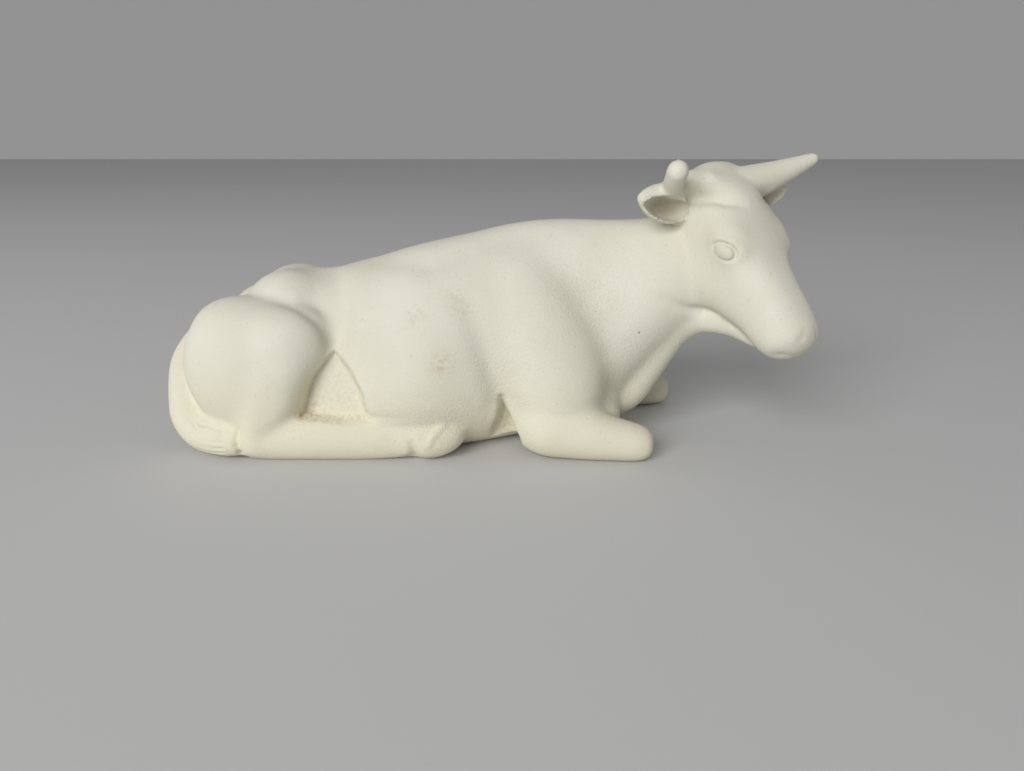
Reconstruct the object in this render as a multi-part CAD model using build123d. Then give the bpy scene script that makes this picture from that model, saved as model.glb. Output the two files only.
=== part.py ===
from build123d import *
from math import cos, pi, radians, sin
import os

# A lying cow in unglazed cream clay: a hollow cast trunk with the head, horns, ears, legs and tail
# made apart, each set on a locating stub and luted on with slip.
# The cow faces +X, its left side is +Y and its right side -Y, and it lies on the plane z = 0.
# The origin is on the flat underside of the trunk, below the spine. Sizes are in millimetres.

# Clay, stubs and the room left for slip
wall = 4.0
slip_gap = 0.15
leg_stub_diameter = 4.0
small_stub_diameter = 2.6
stub_depth = 3.0
vent_diameter = 3.5
vent_behind_origin = 26.0

# Trunk stations from rump to neck: x, underside, top, half width, side shift, turn to the right
TRUNK = [
    (-74.0, 12.0, 20.0, 5.0, 0.0, 0.0),
    (-70.5, 5.0, 26.0, 10.5, 0.0, 0.0),
    (-64.0, 0.0, 32.0, 14.0, 0.0, 0.0),
    (-55.0, -2.0, 37.6, 15.0, 0.0, 0.0),
    (-44.0, -3.0, 43.0, 16.0, 0.0, 0.0),
    (-33.0, -3.0, 44.8, 19.2, 0.0, 0.0),
    (-22.0, -3.0, 47.6, 23.8, 0.0, 0.0),
    (-11.0, -3.0, 50.4, 25.4, 0.0, 0.0),
    (0.0, -2.1, 52.8, 23.6, 0.0, 0.0),
    (11.0, -0.5, 55.4, 20.3, 0.0, 0.0),
    (21.0, 1.5, 56.4, 18.8, 0.0, 0.0),
    (32.0, 5.0, 56.4, 16.6, -1.5, 10.0),
    (43.0, 15.0, 57.0, 14.6, -4.0, 22.0),
    (54.0, 28.0, 58.0, 12.2, -8.5, 36.0),
    (61.5, 37.0, 55.0, 7.0, -13.0, 45.0),
]
# How much the trunk's sections narrow above their middle and widen below it
trunk_egg = 0.14
section_points = 12
cavity_first_station = 2
cavity_last_station = 12

# Haunch, stifle, croup, brisket and thigh
haunch_x = -52.9
haunch_side = 13.0
haunch_height = 21.8
haunch_radius = 17.6
haunch_half_thickness = 12.2
left_haunch_drop = 1.5
stifle_x = -42.5
stifle_side = 15.0
stifle_height = 28.0
stifle_radius = 11.3
stifle_half_thickness = 10.0
croup_x = -45.0
croup_height = 33.7
croup_radius = 11.2
croup_half_width = 15.4
brisket_x = 33.5
brisket_side = 11.0
brisket_height = 8.0
brisket_radius = 6.6
brisket_half_thickness = 7.2
# Thigh stations from stifle to hock: z, x, side, half length, half thickness
THIGH = [
    (33.0, -43.0, 13.0, 5.0, 5.0),
    (27.0, -43.0, 16.5, 8.3, 7.8),
    (19.0, -45.3, 18.2, 7.6, 7.2),
    (9.0, -50.0, 19.2, 6.0, 6.0),
]
# Shoulder stations from withers to elbow: z, x, side, half length, half thickness
SHOULDER = [
    (51.0, 13.5, 4.5, 5.5, 4.5),
    (43.0, 14.8, 9.4, 11.6, 8.2),
    (35.0, 17.3, 11.8, 13.8, 10.0),
    (27.0, 20.0, 13.2, 14.4, 10.8),
    (19.0, 21.0, 14.4, 13.2, 10.4),
    (11.0, 21.5, 15.5, 10.4, 8.8),
]

# Dewlap, from under the jaw down to the brisket: x, y, z, radius
DEWLAP = [
    (67.0, -21.0, 35.5, 2.4),
    (63.5, -16.5, 35.5, 3.6),
    (58.8, -12.0, 34.5, 4.0),
    (54.0, -9.0, 31.0, 4.0),
    (50.0, -6.5, 25.5, 4.0),
    (46.0, -4.6, 19.0, 4.0),
    (41.5, -3.0, 12.0, 4.0),
    (35.0, -1.5, 6.8, 3.6),
    (27.0, -0.5, 6.5, 3.0),
]

# Neck spigot that carries the head
spigot_diameter = 11.0
spigot_length = 7.0
air_way_diameter = 3.5

# Head: place of the poll, turn to the right and dip of the face below level
poll = Vector(61.0, -11.7, 68.9)
head_turn = 55.5
head_dip = 49.0
# Head stations from poll to muzzle: along the face, jaw side, face side, half width
HEAD = [
    (-5.0, -9.0, -5.0, 3.0),
    (-3.5, -13.0, -2.8, 7.5),
    (2.0, -17.5, 0.6, 10.0),
    (10.0, -22.0, 1.2, 10.8),
    (18.0, -23.0, 0.8, 10.8),
    (26.0, -20.0, -0.4, 8.8),
    (34.0, -16.0, -1.4, 7.5),
    (39.5, -14.5, -1.8, 7.5),
    (43.0, -13.0, -2.8, 6.2),
    (45.0, -10.5, -5.2, 2.8),
]
# Rounded masses of the head: along the face, sideways, out from the face, half length, radius
poll_mass = (-0.5, 0.0, -5.0, 9.2, 4.7)
muzzle_mass = (39.5, 0.0, -8.0, 8.4, 6.1)
cheek_mass = (16.5, 0.0, -16.5, 11.0, 8.9)
brow_mass = (13.0, 6.1, -4.8, 11.5, 5.0)

# Horns and ears, in the head's own directions: along the face, sideways, out from the face
right_horn_root = (0.6, -8.0, -8.2)
right_horn_tip = (2.0, -21.0, 3.0)
right_horn_base_diameter = 7.0
right_horn_tip_diameter = 4.4
left_horn_root = (3.0, 6.5, -2.5)
left_horn_tip = (2.6, 23.2, 6.4)
left_horn_base_diameter = 8.6
left_horn_tip_diameter = 2.8
right_ear_root = (4.6, -10.3, -10.0)
right_ear_tip = (1.3, -23.0, -8.6)
left_ear_root = (4.1, 10.0, -7.9)
left_ear_tip = (5.0, 20.5, -2.8)
ear_width = 9.0
ear_depth = 3.6
ear_wall = 1.8
# Ear stations: share of its length, share of its width
EAR = [(0.0, 0.75), (0.35, 1.0), (0.7, 0.85), (0.95, 0.5)]

# Forelegs, folded along the ground
elbow_x = 11.0
right_foreleg_reach = 34.5
left_foreleg_reach = 46.5
foreleg_stub_angle = 222.0
foreleg_stub_station = 10
foreleg_stub_seat = 2
# Foreleg stations: share of the reach, side, centre height, half width, half height
FORELEG = [
    (0.0, 17.5, 9.5, 2.2, 3.2),
    (0.1, 18.0, 8.6, 5.8, 6.8),
    (0.25, 18.6, 8.2, 7.0, 7.9),
    (0.48, 19.2, 7.0, 6.8, 7.1),
    (0.71, 20.2, 5.4, 5.6, 5.5),
    (0.91, 20.8, 4.5, 4.6, 4.5),
    (1.0, 20.8, 4.3, 1.8, 1.9),
]

# Hind shanks along the ground, from hock to hoof: x, side, centre height, half width, half height
SHANK = [
    (-58.0, 18.6, 5.0, 2.4, 3.0),
    (-56.5, 18.6, 5.0, 4.2, 4.6),
    (-52.0, 18.8, 5.2, 5.2, 5.6),
    (-45.0, 18.8, 5.2, 5.3, 5.7),
    (-37.0, 18.8, 5.2, 5.2, 5.6),
    (-29.0, 18.8, 5.1, 5.0, 5.5),
    (-22.0, 18.8, 5.0, 4.8, 5.3),
    (-17.0, 19.0, 5.0, 4.5, 5.0),
    (-12.0, 19.2, 5.0, 5.2, 5.2),
    (-7.5, 19.2, 5.6, 5.0, 5.0),
    (-3.0, 19.0, 6.4, 3.5, 3.5),
    (-0.9, 18.8, 6.8, 1.7, 1.8),
]
hock_stub_x = -51.0
hock_stub_top = 14.0

# Tail, down the rump and round the right haunch: x, y, z, radius
TAIL = [
    (-63.0, 0.0, 33.0, 2.5),
    (-68.8, -3.0, 28.0, 3.2),
    (-73.3, -7.0, 19.5, 3.8),
    (-72.0, -11.5, 10.0, 4.5),
    (-66.0, -15.8, 5.2, 4.8),
    (-58.5, -18.5, 4.2, 4.0),
]
tail_stub_station = 1

RIGHT = -1
LEFT = 1
UP = Vector(0, 0, 1)
cutter_size = 400.0


def upright_section(x, underside, top, half_width, side, turn):
    """Egg shape across the trunk, turned about the vertical."""
    ahead = Vector(cos(radians(turn)), -sin(radians(turn)), 0)
    middle = Vector(x, side, (underside + top) / 2)
    points = []
    for place in range(section_points):
        angle = 2 * pi * place / section_points
        narrowing = 1 - trunk_egg * cos(angle)
        points.append(((top - underside) / 2 * cos(angle), half_width * narrowing * sin(angle)))
    outline = Spline(*points, periodic=True)
    return Plane(middle, x_dir=UP, z_dir=ahead) * make_face(outline)


def cross_sections_loft(stations):
    """Loft through ellipses square to X: x, side, centre height, half width, half height."""
    faces = []
    for x, side, height, half_width, half_height in stations:
        plane = Plane(Vector(x, side, height), x_dir=(0, 1, 0), z_dir=(1, 0, 0))
        faces.append(plane * Ellipse(half_width, half_height))
    return loft(faces)


def lump(middle, axis, half_length, radius):
    """Rounded mass, elliptical in outline, turned about the given direction."""
    pull = 0.5523
    rise = Bezier((-half_length, 0), (-half_length, pull * radius), (-pull * half_length, radius), (0, radius))
    fall = Bezier((0, radius), (pull * half_length, radius), (half_length, pull * radius), (half_length, 0))
    half_face = make_face([rise, fall, Line((half_length, 0), (-half_length, 0))])
    across = UP.cross(axis) if abs(axis.normalized().Z) < 0.9 else Vector(1, 0, 0).cross(axis)
    return Plane(middle, x_dir=axis, z_dir=across) * revolve(half_face, Axis.X)


def rod(start, end, diameter):
    """Round bar between two points."""
    axis = end - start
    return Plane(start, z_dir=axis) * Cylinder(
        diameter / 2, axis.length, align=(Align.CENTER, Align.CENTER, Align.MIN))


def cut_below(solid, height):
    """Leave only what is above a level."""
    return solid - Pos(0, 0, height - cutter_size / 2) * Box(cutter_size, cutter_size, cutter_size)


def ground_cut(solid):
    """Leave only what is above the table."""
    return cut_below(solid, 0)


def single(shape):
    """The one solid of a cut shape, without any sliver beside it."""
    return max(shape.solids(), key=lambda solid: solid.volume)


# Head directions
forward = Vector(cos(radians(head_turn)), -sin(radians(head_turn)), 0)
head_left = Vector(sin(radians(head_turn)), cos(radians(head_turn)), 0)
down_face = forward * cos(radians(head_dip)) - UP * sin(radians(head_dip))
off_face = forward * sin(radians(head_dip)) + UP * cos(radians(head_dip))


def head_point(along, sideways, out):
    return poll + down_face * along + head_left * sideways + off_face * out


def trunk_outside():
    return loft([upright_section(*station) for station in TRUNK])


def trunk_cavity():
    inset = []
    for x, underside, top, half_width, side, turn in TRUNK[cavity_first_station:cavity_last_station + 1]:
        inset.append(upright_section(x, underside + wall, top - wall, half_width - wall, side, turn))
    return cut_below(loft(inset), wall)


def haunch(hand):
    drop = left_haunch_drop if hand == LEFT else 0
    middle = Vector(haunch_x, hand * haunch_side, haunch_height - drop)
    return lump(middle, Vector(0, 1, 0), haunch_half_thickness, haunch_radius)


def stifle(hand):
    drop = left_haunch_drop if hand == LEFT else 0
    middle = Vector(stifle_x, hand * stifle_side, stifle_height - drop)
    return lump(middle, Vector(0, 1, 0), stifle_half_thickness, stifle_radius)


def croup():
    return lump(Vector(croup_x, 0, croup_height), Vector(0, 1, 0), croup_half_width, croup_radius)


def brisket(hand):
    middle = Vector(brisket_x, hand * brisket_side, brisket_height)
    return lump(middle, Vector(0, 1, 0), brisket_half_thickness, brisket_radius)


def level_sections_loft(stations, hand):
    """Loft through level ellipses: z, x, side, half length, half thickness."""
    faces = []
    for z, x, side, half_length, half_thickness in stations:
        faces.append(Plane(Vector(x, hand * side, z)) * Ellipse(half_length, half_thickness))
    return loft(faces)


def rope(stations, seam):
    """Loft through circles along a line of points, with its seam turned to the given direction."""
    points = [Vector(x, y, z) for x, y, z, radius in stations]
    faces = []
    for place, point in enumerate(points):
        before = points[max(place - 1, 0)]
        after = points[min(place + 1, len(points) - 1)]
        along = (after - before).normalized()
        outward = seam(point)
        outward -= along * along.dot(outward)
        faces.append(Plane(point, x_dir=outward, z_dir=along) * Circle(stations[place][3]))
    return loft(faces)


def dewlap():
    return rope(DEWLAP, lambda point: Vector(1, -0.4, -0.8))


def body_outside():
    shape = trunk_outside() + croup() + dewlap()
    for hand in (RIGHT, LEFT):
        shape += haunch(hand)
        shape += stifle(hand)
        shape += level_sections_loft(THIGH, hand)
        shape += level_sections_loft(SHOULDER, hand)
        shape += brisket(hand)
    return single(ground_cut(shape))


def head_outside():
    faces = []
    for along, jaw_side, face_side, half_width in HEAD:
        middle = head_point(along, 0, (jaw_side + face_side) / 2)
        plane = Plane(middle, x_dir=off_face, z_dir=down_face)
        faces.append(plane * Ellipse((face_side - jaw_side) / 2, half_width))
    shape = loft(faces)
    for along, sideways, out, half_length, radius in (poll_mass, muzzle_mass, cheek_mass):
        shape += lump(head_point(along, sideways, out), head_left, half_length, radius)
    along, sideways, out, half_length, radius = brow_mass
    for hand in (RIGHT, LEFT):
        shape += lump(head_point(along, hand * sideways, out), down_face, half_length, radius)
    return single(shape)


def horn_ends(hand):
    root = right_horn_root if hand == RIGHT else left_horn_root
    tip = right_horn_tip if hand == RIGHT else left_horn_tip
    return head_point(*root), head_point(*tip)


def horn_cone(hand):
    root, tip = horn_ends(hand)
    axis = tip - root
    base_radius = (right_horn_base_diameter if hand == RIGHT else left_horn_base_diameter) / 2
    tip_radius = (right_horn_tip_diameter if hand == RIGHT else left_horn_tip_diameter) / 2
    base = Plane(root, z_dir=axis)
    length = axis.length - tip_radius
    cone = base * Cone(base_radius, tip_radius, length, align=(Align.CENTER, Align.CENTER, Align.MIN))
    return cone + base * Pos(0, 0, length) * Sphere(tip_radius)


def ear_ends(hand):
    root = right_ear_root if hand == RIGHT else left_ear_root
    tip = right_ear_tip if hand == RIGHT else left_ear_tip
    return head_point(*root), head_point(*tip)


def ear_leaf(hand):
    """Cupped leaf, open to the front, lofted from its root to its tip."""
    root, tip = ear_ends(hand)
    axis = tip - root
    open_side = forward - axis * (forward.dot(axis) / axis.length ** 2)
    faces = []
    for share, width_share in EAR:
        half = ear_width * width_share / 2
        depth = ear_depth * width_share
        section = make_face([
            ThreePointArc((0, -half), (-depth, 0), (0, half)),
            Line((0, half), (ear_wall / 2, half - ear_wall / 2)),
            ThreePointArc((ear_wall / 2, half - ear_wall / 2), (ear_wall - depth, 0),
                          (ear_wall / 2, ear_wall / 2 - half)),
            Line((ear_wall / 2, ear_wall / 2 - half), (0, -half)),
        ])
        faces.append(Plane(root + axis * share, x_dir=open_side, z_dir=axis) * section)
    return loft(faces)


def foreleg_outside(hand, reach):
    stations = []
    for share, side, height, half_width, half_height in FORELEG:
        stations.append((elbow_x + share * reach, hand * side, height, half_width, half_height))
    return ground_cut(cross_sections_loft(stations))


def shank_outside(hand):
    stations = [(x, hand * side, height, wide, high) for x, side, height, wide, high in SHANK]
    return ground_cut(cross_sections_loft(stations))


def tail_outside():
    middle = Vector(haunch_x, 0, haunch_height)
    return ground_cut(rope(TAIL, lambda point: point - middle))


def trunk_wall_point(station, angle, hand, depth):
    """Point inside the trunk's wall at a station, a depth below the skin."""
    x, underside, top, half_width, side, turn = TRUNK[station]
    half_height = (top - underside) / 2
    y = half_width * cos(radians(angle)) * (1 - trunk_egg * sin(radians(angle)))
    z = half_height * sin(radians(angle))
    normal = Vector(0, y / half_width ** 2, z / half_height ** 2).normalized()
    inner = Vector(x, y, (underside + top) / 2 + z) - normal * depth
    return Vector(inner.X, -hand * inner.Y, inner.Z)


# Stubs: inner end, outer end, diameter
def foreleg_stub(hand, reach):
    inner = trunk_wall_point(foreleg_stub_station, foreleg_stub_angle, hand, stub_depth)
    share, side, height, half_width, half_height = FORELEG[foreleg_stub_seat]
    outer = Vector(elbow_x + share * reach, hand * side, height)
    return inner, outer, leg_stub_diameter


def shank_stub(hand):
    side = hand * SHANK[1][1]
    return Vector(hock_stub_x, side, hock_stub_top), Vector(hock_stub_x, side, SHANK[1][2]), leg_stub_diameter


def tail_stub():
    x, y, z, radius = TAIL[tail_stub_station]
    middle = Vector(x, y, z)
    inward = (Vector(haunch_x, 0, haunch_height) - middle).normalized()
    outer = middle - inward * (radius / 2)
    return outer + inward * (radius + stub_depth), outer, small_stub_diameter


def horn_stub(hand):
    root, tip = horn_ends(hand)
    return root, (root + tip) * 0.5, small_stub_diameter


def ear_stub(hand):
    root, tip = ear_ends(hand)
    inward = (root - tip).normalized()
    return root + inward * stub_depth, root - inward * stub_depth, small_stub_diameter


def socket(stub):
    inner, outer, diameter = stub
    inward = (inner - outer).normalized()
    return rod(inner + inward * slip_gap, outer, diameter + 2 * slip_gap)


body = body_outside()
neck = trunk_outside()
head_mass = head_outside()

# Neck spigot, square to the last trunk station, with an air way from the cavity into the head
neck_axis = Vector(cos(radians(TRUNK[-1][5])), -sin(radians(TRUNK[-1][5])), 0)
neck_middle = Vector(TRUNK[-1][0], TRUNK[-1][4], (TRUNK[-1][1] + TRUNK[-1][2]) / 2)
spigot_end = neck_middle + neck_axis * spigot_length
cavity_x, cavity_low, cavity_top, cavity_half, cavity_side, cavity_turn = TRUNK[cavity_last_station]
cavity_end = Vector(cavity_x, cavity_side, (cavity_low + cavity_top) / 2)
spigot = rod(neck_middle - neck_axis * wall, spigot_end, spigot_diameter)
air_way = rod(cavity_end, neck_middle, air_way_diameter) + rod(
    neck_middle - neck_axis * wall, spigot_end, air_way_diameter)
spigot_socket = rod(neck_middle, spigot_end + neck_axis * slip_gap, spigot_diameter + 2 * slip_gap)
vent = rod(Vector(-vent_behind_origin, 0, 0), Vector(-vent_behind_origin, 0, wall * 2), vent_diameter)

reaches = {RIGHT: right_foreleg_reach, LEFT: left_foreleg_reach}
side_names = {RIGHT: "right", LEFT: "left"}
nodes = {}

body_piece = body + spigot - trunk_cavity() - air_way - vent
head_piece = head_mass - neck - dewlap() - spigot_socket
for hand in (RIGHT, LEFT):
    name = side_names[hand]
    reach = reaches[hand]
    stub = foreleg_stub(hand, reach)
    nodes[name + "_foreleg"] = single(foreleg_outside(hand, reach) - body + rod(*stub))
    body_piece -= socket(stub)
    stub = shank_stub(hand)
    nodes[name + "_hind_shank"] = single(shank_outside(hand) - body + rod(*stub))
    body_piece -= socket(stub)
    stub = horn_stub(hand)
    nodes[name + "_horn"] = single(horn_cone(hand) - head_mass + rod(*stub))
    head_piece -= socket(stub)
    stub = ear_stub(hand)
    nodes[name + "_ear"] = single(ear_leaf(hand) - head_mass + rod(*stub) - neck - horn_cone(hand))
    head_piece -= socket(stub)
stub = tail_stub()
nodes["tail"] = single(tail_outside() - body - shank_outside(RIGHT) + rod(*stub))
body_piece -= socket(stub)
nodes["body_shell"] = single(body_piece)
nodes["head"] = single(head_piece)

os.makedirs("parts", exist_ok=True)
for name, solid in nodes.items():
    export_step(solid, f"parts/{name}.step")
    print(name, round(solid.volume), "mm3", "valid" if solid.is_valid else "not valid")
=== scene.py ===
import math
import bpy
import numpy as np
from mathutils import Matrix, Vector


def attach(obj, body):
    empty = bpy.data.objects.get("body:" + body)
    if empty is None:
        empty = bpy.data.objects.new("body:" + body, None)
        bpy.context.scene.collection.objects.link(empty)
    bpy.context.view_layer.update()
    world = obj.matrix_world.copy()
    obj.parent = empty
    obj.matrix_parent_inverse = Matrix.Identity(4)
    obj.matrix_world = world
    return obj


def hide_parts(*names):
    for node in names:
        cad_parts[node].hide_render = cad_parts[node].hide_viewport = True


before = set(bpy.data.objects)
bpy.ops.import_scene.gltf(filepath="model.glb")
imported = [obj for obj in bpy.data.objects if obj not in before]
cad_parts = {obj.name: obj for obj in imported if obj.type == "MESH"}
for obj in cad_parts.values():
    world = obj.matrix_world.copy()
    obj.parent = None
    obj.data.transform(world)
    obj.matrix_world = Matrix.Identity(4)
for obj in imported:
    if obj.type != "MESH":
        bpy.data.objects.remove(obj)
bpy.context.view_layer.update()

# A lying cow in unglazed cream clay. The forms are roughed out as separate masses, fused into one
# clay surface, carved, and cut apart again where the pieces are luted together.
# Lengths in the tables are millimetres; the cow faces +X, its left is +Y and it lies on z = 0.
MM = 0.001

# Shortest edge that may stay on a cut, how far a cutter reaches beyond its piece, and how far the
# head's cutter reaches beyond the jaw, the face and the sides
SLIVER = 0.008
CUT_MORE = 0.8
HEAD_CUT_MORE = (3.0, 14.0, 12.0)
# Sides of a ring, and rows of mesh from one ring of a table to the next
RING_SIDES = 40
ROWS_BETWEEN_RINGS = 6
UP = np.array((0.0, 0.0, 1.0))

# Trunk rings from rump to neck: x, underside, top, half width, side shift, turn to the right
TRUNK = [
    (-73.5, 12.0, 20.0, 5.0, 0.0, 0.0),
    (-70.5, 5.0, 26.5, 10.5, 0.0, 0.0),
    (-64.0, 0.0, 33.2, 14.0, 0.0, 0.0),
    (-55.0, -2.0, 39.0, 15.0, 0.0, 0.0),
    (-44.0, -3.0, 43.6, 16.2, 0.0, 0.0),
    (-34.0, -3.0, 44.6, 19.0, 0.0, 0.0),
    (-22.0, -3.0, 47.8, 24.0, 0.0, 0.0),
    (-10.0, -3.0, 50.8, 25.6, 0.0, 0.0),
    (1.0, -2.0, 53.2, 23.4, 0.0, 0.0),
    (11.0, -0.5, 55.6, 20.5, 0.0, 0.0),
    (21.0, 1.5, 56.6, 19.0, 0.0, 0.0),
    (32.0, 5.0, 56.6, 16.8, -1.5, 10.0),
    (43.0, 15.0, 57.1, 14.8, -4.0, 22.0),
    (53.0, 27.0, 58.5, 12.5, -8.0, 34.0),
    (61.0, 36.0, 56.0, 8.0, -12.5, 45.0),
]
TRUNK_EGG = 0.14

# Shoulder plate and thigh, top to bottom: height, x, side, half length, half thickness
SHOULDER = [
    (52.0, 13.5, 4.0, 5.0, 4.0),
    (46.0, 14.0, 8.0, 10.5, 7.5),
    (38.0, 16.5, 11.2, 13.5, 9.8),
    (29.0, 19.5, 13.0, 14.5, 11.0),
    (20.0, 21.0, 14.2, 13.5, 10.8),
    (12.0, 21.5, 15.4, 11.0, 9.4),
    (5.0, 21.5, 16.0, 8.0, 7.5),
    (2.0, 21.5, 16.0, 4.0, 4.0),
]
THIGH = [
    (33.0, -43.0, 13.0, 5.0, 5.0),
    (27.0, -43.0, 16.5, 8.5, 8.0),
    (19.0, -45.5, 18.4, 7.6, 7.4),
    (12.0, -48.0, 19.2, 7.2, 6.4),
    (6.0, -51.5, 19.0, 5.4, 5.6),
    (3.0, -52.0, 18.8, 4.4, 4.6),
]

# Rounded masses: middle x, side, height, then radii. The left haunch lies lower.
HAUNCH_REAR = ((-52.8, 13.0, 21.6), (17.8, 12.4, 18.0))
STIFLE = ((-43.5, 15.0, 29.0), (12.0, 10.5, 9.4))
HIP = ((-45.0, 5.0, 33.8), (12.0, 10.5, 11.0))
BRISKET = ((32.3, 11.0, 8.0), (6.8, 7.3, 6.3))
LEFT_HAUNCH_DROP = 1.5

# Foreleg rings: share of the reach, side, centre height, half width, half height
ELBOW_X = 11.0
RIGHT_REACH = 34.5
LEFT_REACH = 46.5
FORELEG = [
    (0.0, 17.5, 9.0, 2.4, 3.2),
    (0.08, 18.0, 8.6, 5.0, 6.2),
    (0.25, 18.6, 8.2, 7.0, 8.0),
    (0.48, 19.2, 7.0, 6.8, 7.2),
    (0.71, 20.2, 5.4, 5.7, 5.6),
    (0.90, 20.8, 4.5, 4.7, 4.6),
    (0.97, 20.8, 4.3, 3.6, 3.6),
    (1.0, 20.8, 4.3, 1.7, 1.8),
]

# Hind shank rings from hock to hoof: x, side, centre height, half width, half height
SHANK = [
    (-55.8, 18.8, 5.4, 2.6, 3.2),
    (-54.6, 18.8, 5.4, 4.4, 5.0),
    (-51.0, 18.9, 5.6, 5.3, 6.0),
    (-45.0, 19.0, 5.7, 5.4, 6.2),
    (-37.0, 19.0, 5.7, 5.4, 6.2),
    (-29.0, 19.0, 5.6, 5.3, 6.1),
    (-22.0, 19.0, 5.5, 5.1, 5.8),
    (-17.0, 19.1, 5.4, 4.7, 5.4),
    (-12.0, 19.3, 5.3, 5.3, 5.5),
    (-7.5, 19.3, 5.6, 5.1, 5.3),
    (-3.0, 19.1, 6.2, 3.8, 3.9),
    (-0.8, 18.9, 6.6, 1.8, 1.9),
]

# Tail rings, down the rump and round the right haunch: x, y, z, radius
TAIL = [
    (-62.0, 0.0, 32.5, 2.4),
    (-68.8, -3.0, 28.0, 3.2),
    (-73.3, -7.0, 19.5, 3.8),
    (-72.0, -11.5, 10.0, 4.6),
    (-66.0, -16.0, 5.2, 5.0),
    (-59.5, -19.2, 5.0, 4.6),
    (-54.0, -20.2, 5.0, 3.8),
]

# Hair lines on the end of the tail: angles round it, width and depths
TUFT_ANGLES = (-55, -35, -15, 5, 25, 45)
TUFT_WIDTH = 0.4
TUFT_DEPTHS = (0.0, 0.4, 0.3)

# Dewlap rope from under the jaw down to the brisket: x, y, z, radius
DEWLAP = [
    (70.4, -26.8, 29.6, 1.2),
    (67.2, -22.0, 31.6, 2.6),
    (63.3, -16.8, 33.6, 3.4),
    (57.4, -12.0, 34.1, 4.1),
    (52.1, -9.3, 32.0, 5.1),
    (48.0, -7.3, 26.5, 5.4),
    (44.5, -5.8, 20.0, 5.5),
    (40.8, -4.2, 12.8, 5.4),
    (35.0, -1.5, 6.5, 4.0),
]

# Head: the poll's place, turn to the right, dip of the face, and rings from poll to muzzle:
# along the face, jaw side, face side, half width
POLL = np.array((61.0, -11.7, 68.9))
HEAD_TURN = math.radians(55.5)
HEAD_DIP = math.radians(49.0)
HEAD = [
    (-5.0, -9.0, -5.0, 3.0),
    (-3.5, -13.0, -2.8, 7.2),
    (2.0, -17.5, 0.6, 9.6),
    (10.0, -22.0, 1.2, 10.6),
    (18.0, -23.0, 0.3, 10.6),
    (26.0, -20.0, -1.1, 8.7),
    (34.0, -16.0, -1.4, 7.4),
    (39.5, -14.5, -1.8, 7.4),
    (43.0, -13.0, -2.8, 6.0),
    (45.0, -10.5, -5.2, 2.8),
]
HEAD_SQUARENESS = 2.7
# The head's cutter is stretched about this place along the face, in proportion to this length
HEAD_MIDDLE = 20.0
HEAD_SPREAD = 60.0
FORWARD = np.array((math.cos(HEAD_TURN), -math.sin(HEAD_TURN), 0.0))
HEAD_LEFT = np.array((math.sin(HEAD_TURN), math.cos(HEAD_TURN), 0.0))
DOWN_FACE = FORWARD * math.cos(HEAD_DIP) - UP * math.sin(HEAD_DIP)
OFF_FACE = FORWARD * math.sin(HEAD_DIP) + UP * math.cos(HEAD_DIP)

# Lumps on the head: middle along the face, out to the side, off the face, then radii
HEAD_POLL = ((-0.5, 0.0, -5.0), (4.5, 9.0, 5.0))
HEAD_MUZZLE = ((39.5, 0.0, -8.0), (5.8, 8.0, 6.6))
HEAD_BROW = ((16.0, 5.8, -4.8), (8.0, 5.4, 4.8))
HEAD_CHEEK = ((16.5, 5.0, -16.5), (9.5, 6.2, 8.8))
RIGHT_HORN_BOSS = ((0.6, 9.4, -5.0), (3.8, 3.8, 3.8))

# Horns and ears on the head: along the face, out to the side, off the face. The right horn sits
# lower and rises more steeply than the left one.
RIGHT_HORN = ((0.5, 7.0, -8.0), (1.2, 16.2, -4.0), (1.8, 19.9, 1.8))
LEFT_HORN = ((3.0, 6.0, -2.5), (2.8, 15.0, 1.5), (2.6, 21.8, 5.6))
RIGHT_HORN_RADII = (4.0, 2.4, 2.4)
LEFT_HORN_RADII = (5.1, 3.0, 1.6)
RIGHT_EAR = ((3.6, 9.0, -9.5), (0.8, 23.0, -8.1))
LEFT_EAR = ((3.8, 9.0, -8.4), (4.4, 20.5, -2.9))
RIGHT_EAR_WIDTH = 1.0
LEFT_EAR_WIDTH = 0.74
# Rings of an ear's leaf and of the hollow in it: share of the reach, half width, half thickness. The
# hollow lies forward of the leaf's middle and below it.
EAR_LEAF = [(-0.15, 2.4, 2.4), (0.15, 4.0, 3.9), (0.4, 4.5, 4.0), (0.65, 4.0, 3.2), (0.86, 2.6, 2.0),
            (1.0, 0.9, 0.9)]
EAR_CUP = [(0.08, 0.8, 0.9), (0.18, 2.0, 2.3), (0.32, 2.6, 3.6), (0.48, 2.7, 4.4), (0.66, 2.3, 3.5),
           (0.82, 1.5, 2.4), (0.92, 0.5, 1.2)]
EAR_CUP_FORWARD = 1.8
EAR_CUP_LOWER = 1.1
# Round end of a horn: share of its end radius beyond the end, share of that radius
HORN_CAP = [(0.4, 0.92), (0.75, 0.66), (0.92, 0.39), (0.98, 0.19)]

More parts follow.
